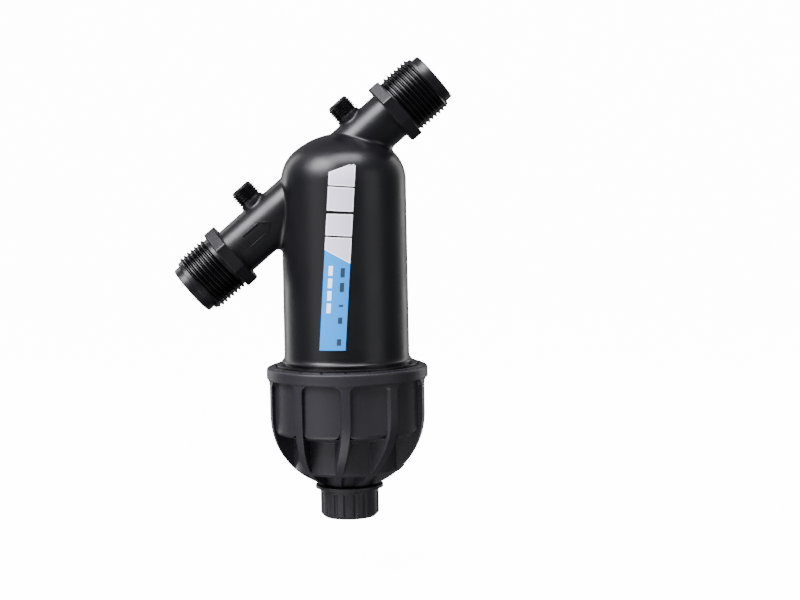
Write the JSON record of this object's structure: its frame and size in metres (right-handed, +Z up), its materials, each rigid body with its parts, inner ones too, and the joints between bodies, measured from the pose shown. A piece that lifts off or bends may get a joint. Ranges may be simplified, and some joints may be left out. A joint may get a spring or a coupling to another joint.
{
  "type": "inline irrigation filter",
  "caption": "Black plastic screen filter: domed barrel on a slanted threaded pipe, with a ribbed screw-on bowl, a fluted flush cap and a red screen element inside.",
  "frame": {"origin": "centre of the lower port, on the pipe's axis at the collar's thread-side face", "axes": "+Z up along the barrel's axis; the slanted pipe lies in the XZ plane, rising towards +X; the labelled front faces -Y"},
  "size_m": [0.1444, 0.0838, 0.2376],
  "materials": {
    "housing_plastic": "satin moulded plastic with a fine grain",
    "bowl_plastic": "matt moulded plastic",
    "cage_plastic": "red moulded plastic",
    "screen_cloth": "fine woven wire cloth",
    "seal_rubber": "black rubber",
    "label_film": "printed film"
  },
  "bodies": {
    "housing": {"housing": "housing_plastic", "screen_cage": "cage_plastic", "screen_mesh": "screen_cloth", "upper_element_seal": "seal_rubber", "lower_element_seal": "seal_rubber", "label": "label_film"},
    "bowl_seal": {"bowl_seal": "seal_rubber"},
    "bowl": {"bowl": "bowl_plastic"},
    "flush_gasket": {"flush_gasket": "seal_rubber"},
    "flush_cap": {"flush_cap": "bowl_plastic"}
  },
  "joints": [
    {"name": "bowl_travel", "type": "slide", "parent": "housing", "child": "bowl_seal", "axis": [0, 0, -1], "range_m": [0, 0.01]},
    {"name": "bowl_turn", "type": "hinge", "parent": "bowl_seal", "child": "bowl", "pos_m": [0.06124, 0, -0.08556], "axis": [0, 0, -1], "range_deg": [0, 900]},
    {"name": "cap_travel", "type": "slide", "parent": "bowl", "child": "flush_gasket", "axis": [0, 0, -1], "range_m": [0, 0.01088]},
    {"name": "flush_cap_turn", "type": "hinge", "parent": "flush_gasket", "child": "flush_cap", "pos_m": [0.06124, 0, -0.13261], "axis": [0, 0, -1], "range_deg": [0, 2160]}
  ],
  "couplings": [
    {"joint": "bowl_travel", "follows": "bowl_turn", "m_per_rad": 0.0006366},
    {"joint": "cap_travel", "follows": "flush_cap_turn", "m_per_rad": 0.0002887}
  ]
}
